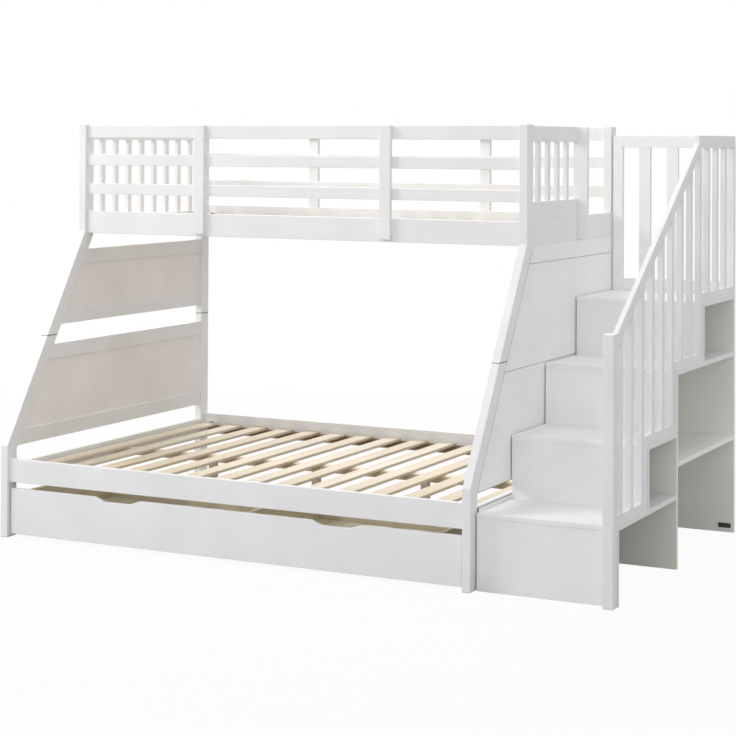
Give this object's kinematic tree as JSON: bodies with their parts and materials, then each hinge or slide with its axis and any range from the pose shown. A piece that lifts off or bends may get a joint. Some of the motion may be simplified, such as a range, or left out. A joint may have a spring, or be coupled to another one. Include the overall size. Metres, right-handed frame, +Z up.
{
  "type": "staircase bunk bed",
  "caption": "White bunk bed with a narrow bunk over a wide one, leaning front posts, a stair of open cubbies with a slatted guard, and a divided trundle on wheels.",
  "frame": {"origin": "on the floor, at the middle of the whole outline seen from above", "axes": "+X along the bed from the panelled end to the stair, +Y from the front to the back, +Z up"},
  "size_m": [2.641, 1.602, 1.705],
  "materials": {
    "white_lacquer": "satin lacquer",
    "pine": "planed, untreated",
    "zinc_steel": "zinc plated",
    "wheel_plastic": "matte"
  },
  "bodies": {
    "bed": {"left_front_lower_post": "white_lacquer", "left_front_upper_post": "white_lacquer", "right_front_lower_post": "white_lacquer", "right_front_upper_post": "white_lacquer", "left_rear_lower_post": "white_lacquer", "left_rear_upper_post": "white_lacquer", "right_rear_lower_post": "white_lacquer", "right_rear_upper_post": "white_lacquer", "lower_front_rail": "white_lacquer", "lower_rear_rail": "white_lacquer", "upper_front_rail": "white_lacquer", "upper_rear_rail": "white_lacquer", "guard_top_rails": "white_lacquer", "guard_mid_rails": "white_lacquer", "guard_braces": "white_lacquer", "lower_end_rails": "white_lacquer", "upper_end_rails": "white_lacquer", "left_panel_rails": "white_lacquer", "left_panels": "white_lacquer", "right_end_walls": "white_lacquer", "end_guard_rails": "white_lacquer", "end_guard_slats": "white_lacquer", "entry_board": "white_lacquer", "tread_1": "white_lacquer", "tread_2": "white_lacquer", "tread_3": "white_lacquer", "tread_4": "white_lacquer", "stair_risers": "white_lacquer", "stair_divider": "white_lacquer", "stair_back_panel": "white_lacquer", "middle_shelf": "white_lacquer", "stair_inner_panel": "white_lacquer", "newel_post": "white_lacquer", "handrail": "white_lacquer", "outer_top_rail": "white_lacquer", "outer_guard_sills": "white_lacquer", "outer_guard_stiles": "white_lacquer", "outer_guard_pickets": "white_lacquer", "back_guard_stiles": "white_lacquer", "back_guard_rails": "white_lacquer", "back_guard_pickets": "white_lacquer", "lower_slats": "pine", "upper_slats": "pine", "slat_cleats": "pine", "centre_beam": "pine", "centre_legs": "pine", "post_tenons": "pine", "hanger_bolts": "zinc_steel", "rail_nuts": "zinc_steel"},
    "trundle": {"trundle_front": "white_lacquer", "trundle_rear_board": "pine", "trundle_end_boards": "pine", "trundle_divider": "pine", "trundle_bearers": "pine", "trundle_slats": "pine", "caster_forks": "zinc_steel"},
    "front_left_wheel": {"front_left_wheel": "wheel_plastic"},
    "front_right_wheel": {"front_right_wheel": "wheel_plastic"},
    "rear_left_wheel": {"rear_left_wheel": "wheel_plastic"},
    "rear_right_wheel": {"rear_right_wheel": "wheel_plastic"}
  },
  "joints": [
    {"name": "trundle_slide", "type": "slide", "parent": "bed", "child": "trundle", "axis": [0, -1, 0], "range_m": [0, 0.65]},
    {"name": "front_left_wheel_spin", "type": "hinge", "parent": "trundle", "child": "front_left_wheel", "pos_m": [-1.0705, -0.706, 0.025], "axis": [1, 0, 0], "range_deg": [-30, 1520]},
    {"name": "front_right_wheel_spin", "type": "hinge", "parent": "trundle", "child": "front_right_wheel", "pos_m": [0.5295, -0.706, 0.025], "axis": [1, 0, 0], "range_deg": [-30, 1520]},
    {"name": "rear_left_wheel_spin", "type": "hinge", "parent": "trundle", "child": "rear_left_wheel", "pos_m": [-1.0705, -0.255, 0.025], "axis": [1, 0, 0], "range_deg": [-30, 1520]},
    {"name": "rear_right_wheel_spin", "type": "hinge", "parent": "trundle", "child": "rear_right_wheel", "pos_m": [0.5295, -0.255, 0.025], "axis": [1, 0, 0], "range_deg": [-30, 1520]}
  ],
  "couplings": [
    {"joint": "front_left_wheel_spin", "follows": "trundle_slide", "rad_per_m": 40},
    {"joint": "front_right_wheel_spin", "follows": "trundle_slide", "rad_per_m": 40},
    {"joint": "rear_left_wheel_spin", "follows": "trundle_slide", "rad_per_m": 40},
    {"joint": "rear_right_wheel_spin", "follows": "trundle_slide", "rad_per_m": 40}
  ]
}
